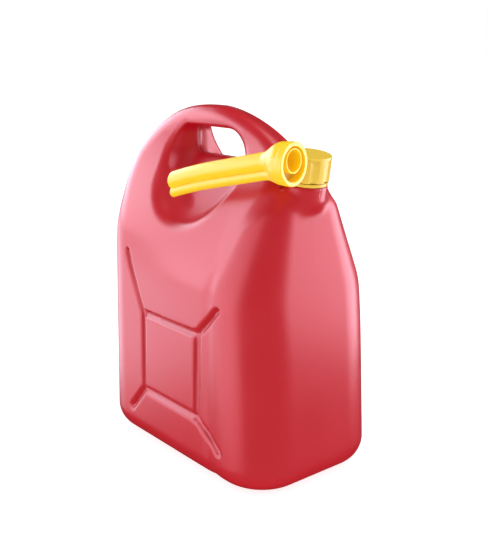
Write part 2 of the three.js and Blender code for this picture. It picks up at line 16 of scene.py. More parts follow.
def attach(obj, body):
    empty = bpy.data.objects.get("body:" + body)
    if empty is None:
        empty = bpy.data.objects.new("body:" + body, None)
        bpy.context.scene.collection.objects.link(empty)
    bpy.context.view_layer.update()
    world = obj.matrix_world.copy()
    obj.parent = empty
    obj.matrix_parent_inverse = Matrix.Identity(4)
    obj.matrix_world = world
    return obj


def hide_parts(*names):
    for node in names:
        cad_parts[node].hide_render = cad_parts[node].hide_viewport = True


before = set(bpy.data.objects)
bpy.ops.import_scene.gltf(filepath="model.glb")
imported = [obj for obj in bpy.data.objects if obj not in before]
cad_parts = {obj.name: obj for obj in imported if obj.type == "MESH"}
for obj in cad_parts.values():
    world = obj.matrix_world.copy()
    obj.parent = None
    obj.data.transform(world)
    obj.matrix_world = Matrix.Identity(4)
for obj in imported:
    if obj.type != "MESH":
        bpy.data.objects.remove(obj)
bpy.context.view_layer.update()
print("solids in the frame:", sorted(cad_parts))

# %% [markdown]
# ## Camera
# The camera was found from the photograph: its place, its two tilts and its focal length follow from
# the can's base, its outline and the ellipse of the spout's ring. It looks down by 15 degrees at the
# corner between the broad side and the neck end.

# %% Camera
CAMERA_PLACE = Vector((0.858, -0.6893, 0.5222))
CAMERA_AZIMUTH = math.radians(50.47)
CAMERA_TILT = math.radians(15.23)
FOCAL_PIXELS = 870.4
PHOTO_HEIGHT = 557
SENSOR = 36.0


def add_camera():
    """A camera whose axes follow from its two angles, with the lens that fits the focal length."""
    data = bpy.data.cameras.new("photo_camera")
    data.sensor_width = SENSOR
    data.lens = SENSOR * FOCAL_PIXELS / PHOTO_HEIGHT
    data.clip_start = 0.05
    camera = bpy.data.objects.new("photo_camera", data)
    bpy.context.scene.collection.objects.link(camera)
    ca, sa = math.cos(CAMERA_AZIMUTH), math.sin(CAMERA_AZIMUTH)
    ct, st = math.cos(CAMERA_TILT), math.sin(CAMERA_TILT)
    right = Vector((ca, sa, 0))
    back = Vector((sa * ct, -ca * ct, st))
    up = back.cross(right)
    turn = Matrix((right, up, back)).transposed()
    camera.matrix_world = Matrix.Translation(CAMERA_PLACE) @ turn.to_4x4()
    bpy.context.scene.camera = camera
    return camera


camera = add_camera()
print("lens", round(camera.data.lens, 2), "mm")

# %% [markdown]
# ## Helpers for surfaces on a grid
# Most pieces are a grid of points: rows along a profile and columns round an axis. The helper turns
# such an array into a mesh, closes its ends with a fan round a pole where it is asked to, and marks
# edges sharper than a limit so that flat faces stay flat while curved ones look smooth.

# %% Mesh helpers
MM = 0.001


def make_object(name, vertices, faces, sharp_degrees=35):
    """An object at the origin from points in millimetres and a list of faces."""
    mesh = bpy.data.meshes.new(name)
    mesh.from_pydata((np.asarray(vertices) * MM).tolist(), [], faces)
    mesh.update()
    mesh.shade_smooth()
    mesh.set_sharp_from_angle(angle=math.radians(sharp_degrees))
    thing = bpy.data.objects.new(name, mesh)
    bpy.context.scene.collection.objects.link(thing)
    return thing


def grid_faces(rows, columns, wrap_rows):
    """Quads between neighbouring rows and columns, as an array of corner numbers. The columns close."""
    row_count = rows if wrap_rows else rows - 1
    i, j = np.meshgrid(np.arange(row_count), np.arange(columns), indexing="ij")
    k, m = (i + 1) % rows, (j + 1) % columns
    return np.stack([i * columns + j, i * columns + m, k * columns + m, k * columns + j], -1).reshape(-1, 4)


def skin(points, wrap_rows=False, start_pole=False, end_pole=False, flip=False):
    """Vertices and faces of a grid of shape rows x columns x 3, with a fan to the mean of an end row."""
    rows, columns = points.shape[:2]
    vertices = points.reshape(-1, 3)
    faces = grid_faces(rows, columns, wrap_rows).tolist()
    for wanted, row in ((start_pole, 0), (end_pole, rows - 1)):
        if wanted:
            pole = len(vertices)
            vertices = np.vstack([vertices, points[row].mean(0)])
            a = row * columns + np.arange(columns)
            b = row * columns + (np.arange(columns) + 1) % columns
            pair = (b, a) if row == 0 else (a, b)
            faces += np.stack([np.full(columns, pole), *pair], -1).tolist()
    if flip:
        faces = [face[::-1] for face in faces]
    return vertices, faces


def rounded_profile(corners, radii, steps=5):
    """A polyline with each inner corner replaced by a curve between the tangent points of the radius:
    a parabola that leaves along one side and arrives along the other, pulled towards the corner."""
    corners = np.asarray(corners, float)
    points = [corners[0]]
    for before, corner, after, radius in zip(corners[:-2], corners[1:-1], corners[2:], radii):
        first, second = before - corner, after - corner
        first, second = first / np.linalg.norm(first), second / np.linalg.norm(second)
        half = math.acos(np.clip(first @ second, -1, 1)) / 2
        if radius <= 0 or half > math.pi / 2 - 0.01:
            points.append(corner)
            continue
        reach = radius / math.tan(half)
        share = np.linspace(0, 1, steps)[:, None]
        bend = (1 - share) ** 2 * (corner + first * reach) + share ** 2 * (corner + second * reach)
        points.extend(bend + 2 * share * (1 - share) * corner)
    points.append(corners[-1])
    return np.array(points)


# %% [markdown]
# ## The tank as a field
# A blow-moulded tank has no flat walls and no sharp joints between its forms, so it is written as a
# field: a function of the point that is negative in the plastic and positive outside. Walls that meet
# in an outside corner are joined by a rounded corner, and forms that flow into each other by a soft
# maximum or minimum. The numbers were fitted to the outline of the photograph.

# %% Field helpers
def softplus(value, softness):
    """A hinge at zero with a soft bend: zero before it, the value after it."""
    return softness * np.logaddexp(0, value / softness)


def soft_max(first, second, blend):
    """The larger of two values, with the crossing rounded over the width of the blend."""
    mix = np.clip(0.5 + 0.5 * (first - second) / blend, 0, 1)
    return second + (first - second) * mix + blend * mix * (1 - mix)


def soft_min(first, second, blend):
    """The smaller of two values, rounded in the same way."""
    return -soft_max(-first, -second, blend)


def rounded_corner(first, second, radius):
    """Distance outside two walls that meet in an outside corner of the given radius."""
    a, b = first + radius, second + radius
    return np.hypot(np.maximum(a, 0), np.maximum(b, 0)) + np.minimum(np.maximum(a, b), 0) - radius


def smooth_step(value):
    """Rises from 0 to 1 with level ends."""
    t = np.clip(value, 0, 1)
    return t * t * (3 - 2 * t)


# %% Sizes of the tank
LENGTH, WIDTH, HEIGHT = 347.2, 218.0, 445.0
HALF_LENGTH, HALF_WIDTH = LENGTH / 2, WIDTH / 2
BASE_EDGE = 32.0
APEX_X = -20.4
HANDLE_HALF = 20.0
BACK_ARCH_Z, BACK_ARCH_POWER = 314.4, 2.64
FRONT_ARCH_Z, FRONT_ARCH_POWER, FRONT_ARCH_REACH = 354.1, 1.65, 158.3
BACK_LEAN, FRONT_LEAN = 0.0073, 0.0615
FRONT_BEND, FRONT_BEND_Z, FRONT_BEND_SOFTNESS = 0.0695, 200, 20
HANDLE_BLEND = 14.0
NECK_X, NECK_Z, NECK_TILT = 134.7, 369.0, math.radians(8.5)
SHOULDER_DROP, SHOULDER_RADIUS = 18.0, 18.0
DRUM_RADIUS, DRUM_HEIGHT, DRUM_TOP = 26.0, 31.0, -3.4
DRUM_TOP_EDGE, DRUM_FOOT_EDGE = 2.0, 12.0
DRUM_BLEND, DRUM_FOOT_BLEND, DRUM_FOOT_START, DRUM_FOOT_REACH = 9.0, 5, 12, 8
POCKET_RADIUS, POCKET_DROP, POCKET_BLEND = 33.5, 9.0, 5.0
BORE_RADIUS, BORE_DEPTH = 16.6, 20.0
HOLLOW_X, HOLLOW_Z, HOLLOW_RADIUS, HOLLOW_WALL = 112, 330, 32, 7
HOLE_BACK, HOLE_FRONT, HOLE_BOTTOM, HOLE_TOP = -70.2, 36.0, 382.9, 417.9
CREST_RADIUS, RIM_BLEND = 12.0, 9.0
GROOVE_DEPTH, GROOVE_FLOOR, GROOVE_HALF = 5.0, 0.6, 6.7
BROAD_SIDE_START, BROAD_SIDE_REACH = 70, 20

# %% Half widths, tapers and corners of the tank
BACK_HALF_WIDTH, BACK_DRAFT, BACK_TAPER, BACK_TAPER_Z = 107.8, 0.03, 0.477, 289
FRONT_TAPER, FRONT_TAPER_Z, FRONT_TAPER_SOFTNESS = 0.485, 238, 5.1
UPPER_TAPER, UPPER_TAPER_Z, TAPER_SOFTNESS = 0.35, 350.2, 8.5
CHANGE_START, TAPER_REACH, CORNER_REACH = 149.3, 225, 270.8
BACK_CORNER_SHARE, CORNER_SHARE_DROP, HANDLE_CORNER_SHARE = 0.695, 0.095, 0.898
HANDLE_CORNER_Z, HANDLE_CORNER_RISE = 380, 60

# %% Scoops of the hand hole: how far each side moves and over which depth
SCOOP_BACK, SCOOP_BACK_REACH = 12.5, 12
SCOOP_BACK_OUTER, SCOOP_BACK_OUTER_START, SCOOP_BACK_OUTER_REACH = 5, 38, 24
SCOOP_FRONT, SCOOP_FRONT_REACH, SCOOP_FRONT_POWER = 27, 14, 1.5
SCOOP_DROP, SCOOP_DEPTH, SCOOP_POWER = 81, 84, 2.2
SCOOP_RISE, SCOOP_RISE_REACH = 2, 12
BACK_TOP_RADIUS, BACK_TOP_GROWTH, FRONT_TOP_RADIUS, FRONT_TOP_GROWTH = 12, 16, 32, 8
TOP_GROWTH_DEPTH, TOP_RADIUS_SHARE = 25, 0.68
LOW_RADIUS, LOW_GROWTH, LOW_GROWTH_DEPTH = 14, 66, 50


def arch(dx, dz, reach, rise, power):
    """First-order distance outside a quarter of a superellipse."""
    u, v = np.maximum(dx / reach, 1e-6), np.maximum(dz / rise, 1e-6)
    g = (u ** power + v ** power) ** (1 / power)
    slope = np.hypot((u / g) ** (power - 1) / reach, (v / g) ** (power - 1) / rise)
    return (g - 1) / slope


def neck_coordinates(x, y, z):
    """Height along the neck's tilted axis, and distance from it."""
    c, s = math.cos(NECK_TILT), math.sin(NECK_TILT)
    along = (x - NECK_X) * s + (z - NECK_Z) * c
    across = np.hypot((x - NECK_X) * c - (z - NECK_Z) * s, y)
    return along, across


def outline(x, z):
    """The side view: two leaning ends under an arch for the handle, joined with the neck's shoulder."""
    back = -HALF_LENGTH + BACK_LEAN * (z - BASE_EDGE)
    front = HALF_LENGTH - FRONT_LEAN * (z - BASE_EDGE)
    front = front - FRONT_BEND * softplus(z - FRONT_BEND_Z, FRONT_BEND_SOFTNESS)
    behind = arch(APEX_X - x, z - BACK_ARCH_Z, APEX_X - back, HEIGHT - BACK_ARCH_Z, BACK_ARCH_POWER)
    ahead = arch(x - APEX_X, z - FRONT_ARCH_Z, FRONT_ARCH_REACH, HEIGHT - FRONT_ARCH_Z, FRONT_ARCH_POWER)
    handle = np.where(x < APEX_X, behind, ahead)
    seat = neck_coordinates(x, 0, z)[0] + SHOULDER_DROP
    shoulder = rounded_corner(np.maximum(x - front, HOLE_FRONT - x), seat, SHOULDER_RADIUS)
    return soft_min(handle, shoulder, HANDLE_BLEND)


def half_width(x, z):
    """Half the tank's width: upright below, tapering to the handle above, sooner at the neck end."""
    back = BACK_HALF_WIDTH - BACK_DRAFT * z - BACK_TAPER * softplus(z - BACK_TAPER_Z, TAPER_SOFTNESS)
    front = HALF_WIDTH - FRONT_TAPER * softplus(z - FRONT_TAPER_Z, FRONT_TAPER_SOFTNESS)
    front = front - UPPER_TAPER * softplus(z - UPPER_TAPER_Z, TAPER_SOFTNESS)
    t = np.clip((x + CHANGE_START) / TAPER_REACH, 0, 1)
    return soft_max(back + (front - back) * (t + smooth_step(t)) / 2, HANDLE_HALF, HANDLE_BLEND)


def window(x, y, z):
    """The hand hole and its scoops: a rounded window in the side view that widens with |y|. Its upper
    and lower corners have their own radii, which grow with the depth of the scoop."""
    depth = np.hypot(y, CREST_RADIUS) - CREST_RADIUS
    outer = smooth_step((depth - SCOOP_BACK_OUTER_START) / SCOOP_BACK_OUTER_REACH)
    low = HOLE_BACK - SCOOP_BACK * (1 - np.exp(-depth / SCOOP_BACK_REACH)) - SCOOP_BACK_OUTER * outer
    high = HOLE_FRONT + SCOOP_FRONT * (1 - np.exp(-(depth / SCOOP_FRONT_REACH) ** SCOOP_FRONT_POWER))
    bottom = HOLE_BOTTOM - SCOOP_DROP * (1 - (1 - np.minimum(1, depth / SCOOP_DEPTH)) ** SCOOP_POWER)
    top = HOLE_TOP + SCOOP_RISE * (1 - np.exp(-depth / SCOOP_RISE_REACH))
    half_x, height = (high - low) / 2, top - bottom
    dx = x - (high + low) / 2
    spread = smooth_step(depth / TOP_GROWTH_DEPTH)
    back_radius = BACK_TOP_RADIUS + BACK_TOP_GROWTH * spread ** 2
    upper_radius = np.where(dx < 0, back_radius, FRONT_TOP_RADIUS + FRONT_TOP_GROWTH * spread)
    upper_radius = np.minimum(np.minimum(upper_radius, half_x), TOP_RADIUS_SHARE * height)
    lower_radius = LOW_RADIUS + LOW_GROWTH * smooth_step(depth / LOW_GROWTH_DEPTH)
    lower_radius = np.minimum(lower_radius, np.minimum(half_x, height - upper_radius))
    upper = z > bottom + lower_radius
    radius = np.where(upper, upper_radius, lower_radius)
    return rounded_corner(np.abs(dx) - half_x, np.where(upper, z - top, bottom - z), radius)


# %% [markdown]
# ## The pressed grooves
# Both broad sides carry a rectangle of grooves with an arm running out from each corner. They stiffen
# the thin wall. In the field a groove is an added depth that depends on the distance from its middle
# line in the side view, so that it has a narrow floor and two sloping walls.

# %% Groove lines
PANEL = {"TL": (-56, 183), "TR": (66, 185), "BL": (-56, 78), "BR": (62, 78)}
ARM_ENDS = {"TL": (-97, 257), "TR": (103, 223), "BL": (-86, 44), "BR": (105, 47)}
GROOVES = [(PANEL["TL"], PANEL["TR"], 0), (PANEL["BL"], PANEL["BR"], 0)]
GROOVES += [(PANEL["BL"], PANEL["TL"], 0), (PANEL["BR"], PANEL["TR"], 2.4)]
GROOVES += [(PANEL[corner], ARM_ENDS[corner], 0) for corner in PANEL]


def groove_depth(x, z):
    """Depth of the pressing at a place of the side view, from the distance to the nearest line. Each
    line has an extra half width, which widens its floor."""
    nearest = np.full(np.shape(x), 1e3)
    for (x0, z0), (x1, z1), extra in GROOVES:
        ex, ez = x1 - x0, z1 - z0
        t = np.clip(((x - x0) * ex + (z - z0) * ez) / (ex * ex + ez * ez), 0, 1)
        nearest = np.minimum(nearest, np.hypot(x - x0 - t * ex, z - z0 - t * ez) - extra)
    return GROOVE_DEPTH * (1 - smooth_step((nearest - GROOVE_FLOOR) / (GROOVE_HALF - GROOVE_FLOOR)))


# %% The tank's field
def tank_walls(x, y, z):
    """The tank without neck, hole and grooves."""
    half = half_width(x, z)
    share = BACK_CORNER_SHARE - CORNER_SHARE_DROP * np.clip((x + CHANGE_START) / CORNER_REACH, 0, 1)
    rise = np.clip((z - HANDLE_CORNER_Z) / HANDLE_CORNER_RISE, 0, 1)
    share = share + (HANDLE_CORNER_SHARE - share) * rise
    walls = rounded_corner(outline(x, z), np.abs(y) - half, share * half)
    return rounded_corner(walls, -z, BASE_EDGE)


def tank_field(x, y, z):
    """The whole tank: walls with grooves, minus the pocket round the cap and the hand hole, plus the
    drum under the neck, minus the neck's bore and the hollow that it leads to. The drum joins the
    shoulder by a blend that is wider at its foot."""
    along, across = neck_coordinates(x, y, z)
    side = smooth_step((np.abs(y) - BROAD_SIDE_START) / BROAD_SIDE_REACH)
    form = tank_walls(x, y, z) + side * groove_depth(x, z)
    pocket = np.maximum(across - POCKET_RADIUS, -along - POCKET_DROP)
    form = soft_max(form, -pocket, POCKET_BLEND)
    form = soft_max(form, -window(x, y, z), RIM_BLEND)
    drum = rounded_corner(across - DRUM_RADIUS, along - DRUM_TOP, DRUM_TOP_EDGE)
    drum = rounded_corner(drum, -along - DRUM_HEIGHT, DRUM_FOOT_EDGE)
    foot = smooth_step((-along - DRUM_FOOT_START) / DRUM_FOOT_REACH)
    form = soft_min(form, drum, DRUM_BLEND + DRUM_FOOT_BLEND * foot)
    reach = np.sqrt((x - HOLLOW_X) ** 2 + y ** 2 + (z - HOLLOW_Z) ** 2) - HOLLOW_RADIUS
    hollow = np.maximum(form + HOLLOW_WALL, reach)
    bore = np.maximum(across - BORE_RADIUS, -along - BORE_DEPTH)
    return np.maximum(form, -np.minimum(hollow, bore))


# %% [markdown]
# ## From field to skin
# A hollow body with a hand hole has no two-parameter grid that covers it without folds. So the field
# is sampled on a block of small cells, and every cell that the surface passes through gets one
# vertex, with a quad across each grid edge whose ends lie on different sides. A few Newton steps
# along the field's slope put each vertex on the surface. Evening the vertices out and putting them
# back, twice, takes away the steps of the cells in the steep grooves.

# %% Surface net
CELL, QUICK_CELL, MARGIN = 2.62, 4.0, 5.3
PROBE_SHARE, LONGEST_STEP_SHARE, LEAST_SLOPE = 0.02, 0.6, 0.25


def onto_surface(field, vertices, cell, steps):
    """Newton steps along the field's slope towards the zero of its value, each of them kept shorter
    than a share of the cell."""
    step = cell * PROBE_SHARE
    for _ in range(steps):
        here = field(*vertices.T)
        slope = np.stack([(field(*(vertices + step * unit).T) - here) / step for unit in np.eye(3)], -1)
        length = np.maximum(np.sum(slope ** 2, -1), LEAST_SLOPE)
        move = -(here / length)[:, None] * slope
        reach = np.linalg.norm(move, axis=1, keepdims=True)
        vertices = vertices + move * np.minimum(1, LONGEST_STEP_SHARE * cell / np.maximum(reach, 1e-9))
    return vertices


def relaxed(vertices, faces):
    """Each vertex moved halfway to the mean of the middles of the faces round it."""
    middle = np.repeat(vertices[faces].mean(1), 4, 0)
    total = np.stack([np.bincount(faces.ravel(), middle[:, k], len(vertices)) for k in range(3)], -1)
    count = np.bincount(faces.ravel(), minlength=len(vertices))[:, None]
    return (vertices + total / np.maximum(count, 1)) / 2


def surface_net(field, low, high, cell):
    """Vertices and quads of the surface where the field is zero, on a block of cubic cells."""
    axes = [np.arange(a, b + cell, cell) for a, b in zip(low, high)]
    x, y, z = np.meshgrid(*axes, indexing="ij", sparse=True)
    value = field(x, y, z)
    inside = value < 0
    nx, ny, nz = (n - 1 for n in inside.shape)
    corners = [inside[i:i + nx, j:j + ny, k:k + nz] for i in (0, 1) for j in (0, 1) for k in (0, 1)]
    count = sum(corner.astype(np.int8) for corner in corners)
    active = (count > 0) & (count < 8)
    number = np.full(active.shape, -1)
    number[active] = np.arange(active.sum())
    cells = np.argwhere(active)
    vertices = np.array(low) + (cells + 0.5) * cell
    vertices = onto_surface(field, vertices, cell, 4)
    faces = []
    for axis in range(3):
        other = [k for k in range(3) if k != axis]
        first = np.take(inside, range(inside.shape[axis] - 1), axis)
        second = np.take(inside, range(1, inside.shape[axis]), axis)
        for rising in (True, False):
            edges = np.argwhere((first & ~second) if rising else (~first & second))
            keep = np.all(edges[:, other] > 0, 1)
            keep &= np.all(edges[:, other] < np.array(active.shape)[other], 1)
            edges = edges[keep]
            around = []
            for a, b in ((0, 0), (-1, 0), (-1, -1), (0, -1)):
                place = edges.copy()
                place[:, other[0]] += a
                place[:, other[1]] += b
                around.append(number[tuple(place.T)])
            quad = np.stack(around, -1)
            turn = rising if axis != 1 else not rising
            faces.append(quad if turn else quad[:, ::-1])
    faces = np.vstack(faces)
    for _ in range(2):
        vertices = onto_surface(field, relaxed(vertices, faces), cell, 2)
    return vertices, faces


def make_tank():
    cell = CELL
    low = (-HALF_LENGTH - MARGIN, -HALF_WIDTH - MARGIN, -MARGIN)
    high = (HALF_LENGTH + MARGIN, HALF_WIDTH + MARGIN, HEIGHT + MARGIN)
    vertices, faces = surface_net(tank_field, low, high, cell)
    vertices[:, 2] = np.maximum(vertices[:, 2], 0)
    tank = make_object("tank", vertices, faces.tolist(), 180)
    print("tank:", len(vertices), "vertices", len(faces), "quads")
    return tank


tank = make_tank()
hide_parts("can_body")
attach(tank, "tank")

# %% [markdown]
# ## Neck
# A moulded neck carries a coarse thread. It is a profile turned round the neck's axis, and the thread
# is a radius that grows near a helix: the distance to the helix along the axis decides the height.

# %% Neck with its thread
PITCH = 5.0
NECK_RADIUS, NECK_TOP = 19.0, 25.0
THREAD_HEIGHT, THREAD_HALF, THREAD_FADE = 1.0, 1.1, 2
THREAD_START, THREAD_END = 2, 22
NECK_ROOT, NECK_BORE_ROOT, NECK_RIM_ROUNDING = -5, -9, 0.6
neck_frame = np.array(Matrix.Translation((NECK_X, 0, NECK_Z)) @ Matrix.Rotation(NECK_TILT, 4, "Y"))


def placed(points, matrix):
    """The points carried by a 4x4 matrix."""
    return points @ matrix[:3, :3].T + matrix[:3, 3]


def helix_ridge(height, angle, start, end):
    """1 on the crest of a thread of the given pitch and 0 away from it, fading in and out at its ends."""
    turns = height / PITCH - angle / (2 * math.pi)
    off = np.abs(turns - np.round(turns)) * PITCH
    crest = 1 - smooth_step(off / THREAD_HALF)
    return crest * smooth_step((height - start) / THREAD_FADE) * smooth_step((end - height) / THREAD_FADE)


def turned(profile, columns, matrix, shape=None):
    """A profile of (radius, height) turned round the axis. shape(radius, height, angle) may change the
    radius. Rows follow the profile and columns the angle."""
    angle = np.linspace(0, 2 * math.pi, columns, endpoint=False)[None, :]
    radius = np.repeat(profile[:, :1], columns, 1)
    height = np.repeat(profile[:, 1:], columns, 1)
    if shape is not None:
        radius = shape(radius, height, angle)
    points = np.stack([radius * np.cos(angle), radius * np.sin(angle), height], -1)
    return placed(points, matrix)


def dense(profile, step):
    """The same polyline with points added so that no stretch is longer than the step."""
    parts = []
    for a, b in zip(profile[:-1], profile[1:]):
        count = max(1, int(np.ceil(np.linalg.norm(b - a) / step)))
        parts.append(a + (b - a) * np.linspace(0, 1, count, endpoint=False)[:, None])
    return np.vstack(parts + [profile[-1:]])


def make_neck():
    """A tube with a rounded rim and a thread outside, let into the drum."""
    root = NECK_RADIUS - THREAD_HEIGHT
    corners = [(BORE_RADIUS, NECK_BORE_ROOT), (BORE_RADIUS, NECK_TOP), (root, NECK_TOP), (root, NECK_ROOT)]
    profile = dense(rounded_profile(corners, [NECK_RIM_ROUNDING] * 2), 0.5)
    outer = (np.arange(len(profile)) > len(profile) // 2)[:, None]

    def shape(radius, height, angle):
        return radius + outer * THREAD_HEIGHT * helix_ridge(height, angle, THREAD_START, THREAD_END)

    vertices, faces = skin(turned(profile, 160, neck_frame, shape))
    return make_object("neck_thread", vertices, faces)


neck = make_neck()
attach(neck, "tank")
print("neck:", len(neck.data.polygons), "faces")

# %% [markdown]
# ## Cap
# The cap is a cup with a thread inside and eight hollow flutes outside for the fingers. The flutes
# stop under the top in a ledge. One profile runs from the middle of the top over the edge, down the
# side and back up inside; a flute is a smaller radius over a share of every eighth of a turn.

# %% Cap
RING_FOOT, RING_TOP = -3.0, 0.6
CAP_RADIUS, CAP_FOOT, CAP_HEAD, CAP_WALL_TOP = 26.6, 1.6, 30.9, 27.6
CAP_BORE, CAP_THREAD_HEIGHT = 19.6, 0.9
FLUTES, FLUTE_HALF_WIDTH, FLUTE_DEPTH, FLUTE_TURN = 8, 5.6, 3.0, math.radians(20)
FLUTE_TOP, FLUTE_LEDGE = 27.7, 0.9


def flute(angle):
    """1 in the middle of a flute and 0 on the lands, as a rounded hollow."""
    sector = 2 * math.pi / FLUTES
    off = (angle - FLUTE_TURN + sector / 2) % sector - sector / 2
    share = np.clip(np.abs(off) * CAP_RADIUS / FLUTE_HALF_WIDTH, 0, 1)
    return (1 - share ** 2) ** 0.75


def make_cap():
    """The cup's profile turned round the neck's axis, with flutes outside and a thread inside."""
    corners = [(0.01, CAP_HEAD), (CAP_RADIUS, CAP_HEAD), (CAP_RADIUS, CAP_FOOT), (CAP_BORE, CAP_FOOT)]
    corners += [(CAP_BORE, CAP_WALL_TOP), (0.01, CAP_WALL_TOP)]
    profile = dense(rounded_profile(corners, [1.4, 0.5, 0.5, 0.8], 7), 0.6)

    def shape(radius, height, angle):
        outside = (radius > CAP_BORE + 1.5) & (height < CAP_HEAD - 0.05)
        ledge = smooth_step((FLUTE_TOP - height) / FLUTE_LEDGE)
        ridge = helix_ridge(height, angle + math.pi, CAP_FOOT + 1, CAP_WALL_TOP - 2)
        inner = (np.abs(radius - CAP_BORE) < 0.01) & (height > CAP_FOOT + 0.6)
        rim = smooth_step((radius - CAP_BORE - 1.5) / 2)
        radius = radius - outside * rim * ledge * FLUTE_DEPTH * flute(angle)
        return radius + inner * CAP_THREAD_HEIGHT * (1 - ridge) * smooth_step((height - CAP_FOOT) / 2)

    points = turned(profile, 320, neck_frame, shape)
    vertices, faces = skin(points, start_pole=True, end_pole=True, flip=True)
    return make_object("cap_fluted", vertices, faces)


cap = make_cap()
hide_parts("cap")
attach(cap, "cap")
print("cap:", len(cap.data.polygons), "faces")

# %% [markdown]
# ## Gaskets
# A flat rubber washer seals the cap on the neck's rim and a soft plastic washer lies at the bottom of
# the spout's socket. Both are a rounded rectangle turned round an axis.

# %% Gaskets
WASHER_BORE, WASHER_RADIUS, WASHER_LOW, WASHER_HIGH, WASHER_EDGE = 15.2, 19.3, 25.3, 27.3, 0.35


def washer(name, inner, outer, low, high, matrix):
    """A closed ring with rounded edges."""
    corners = [(inner, (low + high) / 2), (inner, high), (outer, high), (outer, low), (inner, low)]
    corners.append((inner, (low + high) / 2))
    profile = rounded_profile(corners, [WASHER_EDGE] * 4)[:-1]
    vertices, faces = skin(turned(profile, 96, matrix), wrap_rows=True, flip=True)
    return make_object(name, vertices, faces)


cap_washer = washer("cap_washer", WASHER_BORE, WASHER_RADIUS, WASHER_LOW, WASHER_HIGH, neck_frame)
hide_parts("cap_gasket")
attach(cap_washer, "gasket")

# %% [markdown]
# ## Spout
# The spout is one moulding: a round socket that fits the neck's thread, a flare, and two tubes side by
# side, the wide one for the fuel and the narrow one below for the air. Its section at any distance is
# a radius round the axis. That radius goes from a circle to the outline of the two tubes.

# %% Spout sections
SPOUT_PLACE, SPOUT_YAW, SPOUT_LENGTH = (166.2, -47.5, 393.7), math.radians(10.5), 184.0
SOCKET_RADIUS, SOCKET_BORE, SOCKET_DEPTH = 24.6, 19.6, 14.0
FLARE_START, FLARE_LENGTH = 12.0, 30.0
FLOW_RADIUS, VENT_RADIUS, TUBE_HEIGHT = 10.8, 7.0, 32.3
FLOW_CENTRE, VENT_CENTRE = TUBE_HEIGHT / 2 - FLOW_RADIUS, VENT_RADIUS - TUBE_HEIGHT / 2
TUBE_RISE, TUBE_SLOPE, TIP_DROOP, DROOP_START = 3.6, 0.22, 3.4, 119.6
PASSAGE_WALL = 1.9
LIP, TIP_EDGE = 0.9, 1.2
BAND_DEPTH, BAND_RING_PITCH, BAND_RING_HEIGHT = 0.45, 1.3, 0.12
GRIP_RIBS, GRIP_HEIGHT = 44, 0.32
spout_frame = np.array(Matrix.Translation(SPOUT_PLACE) @ Matrix.Rotation(SPOUT_YAW, 4, "Z"))


def lobe(centre, radius, angle):
    """How far a circle beside the axis reaches in a direction, or zero where the ray misses it."""
    inside = radius ** 2 - (centre * np.cos(angle)) ** 2
    return np.where(inside > 0, centre * np.sin(angle) + np.sqrt(np.maximum(inside, 0)), 0)


def tube_reach(angle):
    """The two tubes' outline, with a small fillet where they meet."""
    return soft_max(lobe(FLOW_CENTRE, FLOW_RADIUS, angle), lobe(VENT_CENTRE, VENT_RADIUS, angle), 0.6)


def tube_centre(t):
    """Height of the tubes' middle line over the socket's axis: a slope with a droop at the tip."""
    past = np.maximum(0, -t - DROOP_START) / (SPOUT_LENGTH - DROOP_START)
    return TUBE_RISE + TUBE_SLOPE * t - TIP_DROOP * past ** 2


def spout_skin():
    """The outer skin from the middle of the socket's face over the lip and along to the tip. Fine rings
    run round the socket's band, and low ribs along the start of the flare."""
    face = np.array([[0, r] for r in np.linspace(0.02, 0.98, 8)])
    turn = np.linspace(0, math.pi / 2, 6)
    edge = np.stack([-LIP * (1 - np.cos(turn)), 1 - LIP / SOCKET_RADIUS * (1 - np.sin(turn))], -1)
    body_t = np.concatenate([np.linspace(-1.4, -60, 98), np.linspace(-61.5, -SPOUT_LENGTH + TIP_EDGE, 80)])
    body = np.stack([body_t, np.ones_like(body_t)], -1)
    tip = np.stack([-SPOUT_LENGTH + TIP_EDGE * (1 - np.sin(turn)), 1 - 0.05 * (1 - np.cos(turn))], -1)[1:]
    end = np.array([[-SPOUT_LENGTH, r] for r in np.linspace(0.94, 0.02, 8)])
    rows = np.vstack([face, edge, body, tip, end])
    t, share = rows[:, :1], rows[:, 1:]
    angle = (np.arange(192)[None, :] + 0.5) * 2 * math.pi / 192
    flare = smooth_step((-t - FLARE_START) / FLARE_LENGTH)
    radius = SOCKET_RADIUS + (tube_reach(angle) - SOCKET_RADIUS) * flare
    band = smooth_step((t + 8.2) / 0.5) * (1 - smooth_step(t + 0.1))
    rings = np.cos(2 * math.pi * (t + 4) / BAND_RING_PITCH)
    rings = rings * smooth_step((t + 7.6) / 0.6) * smooth_step((-t - 2.2) / 0.6)
    relief = BAND_RING_HEIGHT * rings * (band > 0) - BAND_DEPTH * (1 - band) * (1 - flare)
    radius = radius + share * relief
    grip = smooth_step((-t - 15) / 2) * smooth_step((t + 32) / 4)
    radius = radius + share * GRIP_HEIGHT * grip * np.maximum(0, np.cos(angle * GRIP_RIBS)) ** 2
    radius = radius * share
    height = tube_centre(t) * flare + radius * np.sin(angle)
    points = np.stack([np.broadcast_to(t, radius.shape), radius * np.cos(angle), height], -1)
    return skin(placed(points, spout_frame), start_pole=True, end_pole=True, flip=True)


# %% [markdown]
# ## Cutting the socket and the passages
# The socket is a round channel with a drop-shaped tube standing in its middle. Behind it the drop
# splits into the two bores. These hollows cross the skin, so they are made as closed cutters and taken
# out with a boolean, the way a mould's cores leave their holes.

# %% Cutters
MOUTH_RADIUS, MOUTH_POINT, MOUTH_HEIGHT, MOUTH_DEPTH = 14.0, 4.5, 28.0, 30.0


